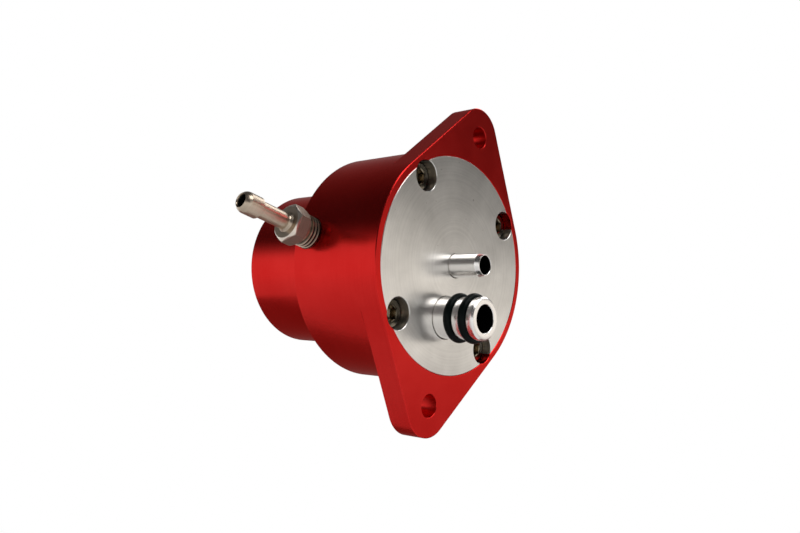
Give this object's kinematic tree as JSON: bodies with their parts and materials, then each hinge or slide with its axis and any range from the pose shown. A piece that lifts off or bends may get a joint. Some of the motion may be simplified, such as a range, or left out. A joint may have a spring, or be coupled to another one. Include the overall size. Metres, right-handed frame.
{
  "type": "fuel pressure regulator",
  "caption": "Fuel pressure regulator: red anodised round housing with spring nose and bolt flange, flush base plate with ring-sealed inlet and return tube, vacuum barb and rear adjuster.",
  "frame": {"origin": "centre of the mounting face, midway between the two flange bolt holes", "axes": "-Y out of the mounting face, towards the fuel rail; +Y along the spring nose; Z along the flange's bolt line with the inlet on the -Z side; -X along the vacuum fitting"},
  "size_m": [0.0779, 0.0765, 0.0838],
  "materials": {
    "red_anodised": "red anodised over fine turning marks",
    "satin_aluminium": "satin, faintly turned, with handling smudges",
    "turned_aluminium": "bright turned",
    "seat_brass": "turned",
    "black_rubber": "smooth, slightly oily",
    "black_steel": "black oxide",
    "diaphragm_rubber": "cloth-backed rubber",
    "zinc_steel": "zinc plated",
    "bright_steel": "bright zinc plated",
    "polished_steel": "polished",
    "spring_steel": "drawn wire",
    "sealing_nylon": "matt",
    "nickel_brass": "nickel plated, machined"
  },
  "bodies": {
    "case": {"housing": "red_anodised", "base_plate": "satin_aluminium", "inlet_spigot": "turned_aluminium", "return_tube": "turned_aluminium", "valve_seat": "seat_brass", "inlet_ring_inner": "black_rubber", "inlet_ring_outer": "black_rubber", "plate_screws": "black_steel", "diaphragm": "diaphragm_rubber", "sealing_washer": "sealing_nylon", "vacuum_fitting": "nickel_brass"},
    "valve": {"backing_washer": "zinc_steel", "spring_cup": "zinc_steel", "valve_stud": "bright_steel", "valve_ball": "polished_steel", "spring": "spring_steel"},
    "seat": {"spring_seat": "zinc_steel"},
    "adjuster": {"adjusting_screw": "black_steel"},
    "nut": {"lock_nut": "bright_steel"}
  },
  "joints": [
    {"name": "valve_lift", "type": "slide", "parent": "case", "child": "valve", "axis": [0, 1, 0], "range_m": [0, 0.0008], "stiffness_N_per_m": 15000, "deforming": ["spring", "diaphragm"]},
    {"name": "adjuster_advance", "type": "slide", "parent": "case", "child": "seat", "axis": [0, 1, 0], "range_m": [-0.00317, 0.00317], "deforming": ["spring"]},
    {"name": "adjuster_turn", "type": "hinge", "parent": "seat", "child": "adjuster", "pos_m": [0, 0.05, 0], "axis": [0, 1, 0], "range_deg": [-1081, 1081]},
    {"name": "nut_turn", "type": "hinge", "parent": "case", "child": "nut", "pos_m": [0, 0.0579, 0], "axis": [0, 1, 0], "range_deg": [0, 180]}
  ],
  "couplings": [
    {"joint": "adjuster_turn", "follows": "adjuster_advance", "rad_per_m": 5936.9}
  ]
}
